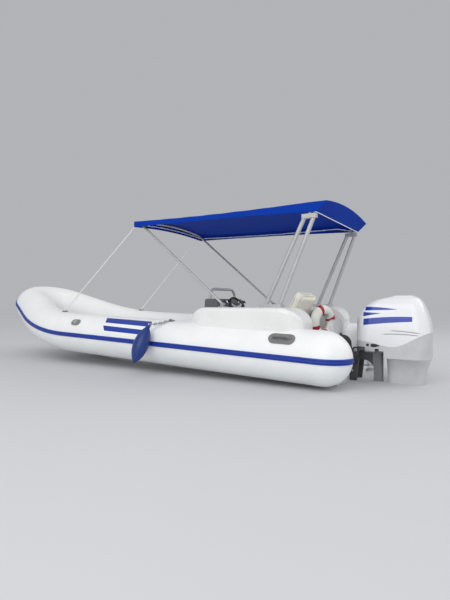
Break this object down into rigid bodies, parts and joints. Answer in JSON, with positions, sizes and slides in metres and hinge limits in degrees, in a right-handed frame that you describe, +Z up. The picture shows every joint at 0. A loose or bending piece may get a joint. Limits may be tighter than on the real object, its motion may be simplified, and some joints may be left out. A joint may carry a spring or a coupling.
{
  "type": "inflatable boat",
  "caption": "Rigid-hull inflatable boat with side tubes, helm console and seat, folding sun canopy on an arch, and a tilting, steering outboard motor with a propeller.",
  "frame": {"origin": "on the waterline amidships, in the plane of the transom's aft face", "axes": "+X to the bow, +Y to port, +Z up"},
  "size_m": [6.1698, 2.2201, 2.4098],
  "materials": {
    "tube_skin": "satin",
    "strake_rubber": "satin",
    "gelcoat": "gloss",
    "deck_grip": "matte",
    "console_moulding": "satin",
    "seat_moulding": "satin",
    "upholstery": "satin",
    "ring_cover": "satin",
    "fender_vinyl": "satin",
    "rope": "matte",
    "fitting_rubber": "matte",
    "tube_alloy": "satin",
    "eye_steel": "satin",
    "canopy_cloth": "matte",
    "webbing": "matte",
    "bracket_paint": "satin",
    "cowl_paint": "gloss",
    "leg_paint": "satin",
    "engine_metal": "matte",
    "prop_alloy": "satin",
    "wheel_grip": "matte",
    "hose_rubber": "matte"
  },
  "bodies": {
    "boat": {"tube_port": "tube_skin", "tube_starboard": "tube_skin", "tube_bow": "tube_skin", "strake_port": "strake_rubber", "strake_starboard": "strake_rubber", "hull": "gelcoat", "deck": "deck_grip", "transom": "gelcoat", "pod_port": "gelcoat", "pod_starboard": "gelcoat", "console": "console_moulding", "console_rail": "tube_alloy", "seat_base": "seat_moulding", "seat_cushion": "upholstery", "backrest": "upholstery", "life_ring": "ring_cover", "fender": "fender_vinyl", "fender_line": "rope", "handle_port": "fitting_rubber", "handle_starboard": "fitting_rubber", "valve_port": "fitting_rubber", "valve_starboard": "fitting_rubber", "arch_port": "tube_alloy", "arch_starboard": "tube_alloy", "rear_bar": "tube_alloy", "foot_port": "tube_alloy", "foot_starboard": "tube_alloy", "canopy": "canopy_cloth", "stay_port": "webbing", "stay_starboard": "webbing", "stay_pad_port": "fitting_rubber", "stay_pad_starboard": "fitting_rubber", "clamp_bracket": "bracket_paint", "bow_eye": "eye_steel", "stern_eye_port": "eye_steel", "stern_eye_starboard": "eye_steel", "rigging_hose": "hose_rubber"},
    "tilt_bracket": {"swivel_bracket": "bracket_paint"},
    "motor": {"steering_yoke": "bracket_paint", "motor_cowl": "cowl_paint", "motor_leg": "leg_paint", "powerhead": "engine_metal", "gearcase": "leg_paint"},
    "screw": {"propeller": "prop_alloy"},
    "helm": {"steering_wheel": "wheel_grip"},
    "bow_hoop": {"front_bow": "tube_alloy"}
  },
  "joints": [
    {"name": "motor_tilt", "type": "hinge", "parent": "boat", "child": "tilt_bracket", "pos_m": [-0.06, 0, 0.305], "axis": [0, 1, 0], "range_deg": [0, 62]},
    {"name": "motor_steer", "type": "hinge", "parent": "tilt_bracket", "child": "motor", "pos_m": [-0.265, 0, 0.1], "axis": [0, 0, 1], "range_deg": [-30, 30]},
    {"name": "propeller_spin", "type": "hinge", "parent": "motor", "child": "screw", "pos_m": [-0.7, 0, -0.42], "axis": [1, 0, 0], "continuous": true},
    {"name": "wheel_turn", "type": "hinge", "parent": "boat", "child": "helm", "pos_m": [1.47, 0, 0.66], "axis": [-0.8829, 0, 0.4695], "range_deg": [-540, 540]},
    {"name": "canopy_fold", "type": "hinge", "parent": "boat", "child": "bow_hoop", "pos_m": [1.203, 0, 0.765], "axis": [0, -1, 0], "range_deg": [0, 93], "deforming": ["canopy", "stay_port", "stay_starboard"]}
  ],
  "couplings": [
    {"joint": "wheel_turn", "follows": "motor_steer", "ratio": 18}
  ]
}
